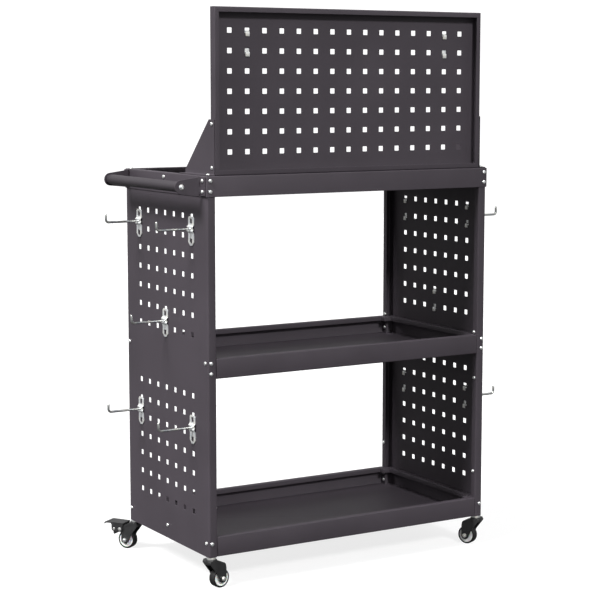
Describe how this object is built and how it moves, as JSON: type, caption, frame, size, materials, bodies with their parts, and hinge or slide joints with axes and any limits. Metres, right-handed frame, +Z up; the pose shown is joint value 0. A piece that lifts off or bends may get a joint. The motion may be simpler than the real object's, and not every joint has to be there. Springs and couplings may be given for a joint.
{
  "type": "tool cart",
  "caption": "Open tool cart on swivel casters, with perforated side panels, shallow trays, a pegboard above the back edge, push handle and zinc hooks.",
  "frame": {"origin": "centre of the whole outline in plan, hooks and brake pedals included, on the floor", "axes": "+Z up, +X towards the end without a handle, +Y towards the working side, away from the pegboard"},
  "size_m": [0.8042, 0.4191, 1.111],
  "materials": {
    "frame_coat": "anthracite powder coat, fine texture",
    "hook_zinc": "bright zinc plate",
    "fastener_steel": "bright zinc plate",
    "caster_housing": "moulded black nylon",
    "wheel_hub": "moulded white nylon",
    "wheel_tyre": "dark grey rubber"
  },
  "bodies": {
    "cart": {"side_panel_left": "frame_coat", "side_panel_right": "frame_coat", "tray_top": "frame_coat", "tray_middle": "frame_coat", "tray_bottom": "frame_coat", "pegboard": "frame_coat", "gusset_left": "frame_coat", "gusset_right": "frame_coat", "handle_bar": "frame_coat", "handle_ear_front": "frame_coat", "handle_ear_rear": "frame_coat", "handle_bolt_front": "fastener_steel", "handle_bolt_rear": "fastener_steel", "hook_left_1": "hook_zinc", "hook_left_2": "hook_zinc", "hook_left_3": "hook_zinc", "hook_left_4": "hook_zinc", "hook_left_5": "hook_zinc", "hook_right_1": "hook_zinc", "hook_right_2": "hook_zinc", "hook_right_3": "hook_zinc", "hook_right_4": "hook_zinc", "hook_right_5": "hook_zinc", "hook_board_1": "hook_zinc", "hook_board_2": "hook_zinc", "caster_socket_fl": "fastener_steel", "caster_socket_fr": "fastener_steel", "caster_socket_rl": "fastener_steel", "caster_socket_rr": "fastener_steel", "caster_stem_fl": "fastener_steel", "caster_stem_fr": "fastener_steel", "caster_stem_rl": "fastener_steel", "caster_stem_rr": "fastener_steel"},
    "caster_fl": {"caster_fork_fl": "caster_housing", "caster_axle_fl": "fastener_steel"},
    "wheel_fl": {"caster_tyre_fl": "wheel_tyre", "caster_hub_fl": "wheel_hub"},
    "caster_fr": {"caster_fork_fr": "caster_housing", "caster_axle_fr": "fastener_steel"},
    "wheel_fr": {"caster_tyre_fr": "wheel_tyre", "caster_hub_fr": "wheel_hub"},
    "caster_rl": {"caster_fork_rl": "caster_housing", "caster_axle_rl": "fastener_steel", "brake_pin_rl": "fastener_steel"},
    "wheel_rl": {"caster_tyre_rl": "wheel_tyre", "caster_hub_rl": "wheel_hub"},
    "pedal_rl": {"brake_pedal_rl": "caster_housing"},
    "caster_rr": {"caster_fork_rr": "caster_housing", "caster_axle_rr": "fastener_steel", "brake_pin_rr": "fastener_steel"},
    "wheel_rr": {"caster_tyre_rr": "wheel_tyre", "caster_hub_rr": "wheel_hub"},
    "pedal_rr": {"brake_pedal_rr": "caster_housing"}
  },
  "joints": [
    {"name": "swivel_fl", "type": "hinge", "parent": "cart", "child": "caster_fl", "pos_m": [-0.3165, -0.194, 0.059], "axis": [0, 0, 1], "continuous": true},
    {"name": "wheel_spin_fl", "type": "hinge", "parent": "caster_fl", "child": "wheel_fl", "pos_m": [-0.29773, -0.19103, 0.019], "axis": [-0.1564, 0.9877, 0], "continuous": true},
    {"name": "swivel_fr", "type": "hinge", "parent": "cart", "child": "caster_fr", "pos_m": [0.3165, -0.194, 0.059], "axis": [0, 0, 1], "continuous": true},
    {"name": "wheel_spin_fr", "type": "hinge", "parent": "caster_fr", "child": "wheel_fr", "pos_m": [0.30832, -0.17685, 0.019], "axis": [-0.9026, -0.4305, 0], "continuous": true},
    {"name": "swivel_rl", "type": "hinge", "parent": "cart", "child": "caster_rl", "pos_m": [-0.3165, 0.143, 0.059], "axis": [0, 0, 1], "continuous": true},
    {"name": "wheel_spin_rl", "type": "hinge", "parent": "caster_rl", "child": "wheel_rl", "pos_m": [-0.32712, 0.15875, 0.019], "axis": [-0.829, -0.5592, 0], "continuous": true},
    {"name": "brake_rl", "type": "hinge", "parent": "caster_rl", "child": "pedal_rl", "pos_m": [-0.33328, 0.16787, 0.042], "axis": [-0.829, -0.5592, 0], "range_deg": [0, 20]},
    {"name": "swivel_rr", "type": "hinge", "parent": "cart", "child": "caster_rr", "pos_m": [0.3165, 0.143, 0.059], "axis": [0, 0, 1], "continuous": true},
    {"name": "wheel_spin_rr", "type": "hinge", "parent": "caster_rr", "child": "wheel_rr", "pos_m": [0.3282, 0.15797, 0.019], "axis": [-0.788, 0.6157, 0], "continuous": true},
    {"name": "brake_rr", "type": "hinge", "parent": "caster_rr", "child": "pedal_rr", "pos_m": [0.33497, 0.16664, 0.042], "axis": [-0.788, 0.6157, 0], "range_deg": [0, 20]}
  ]
}
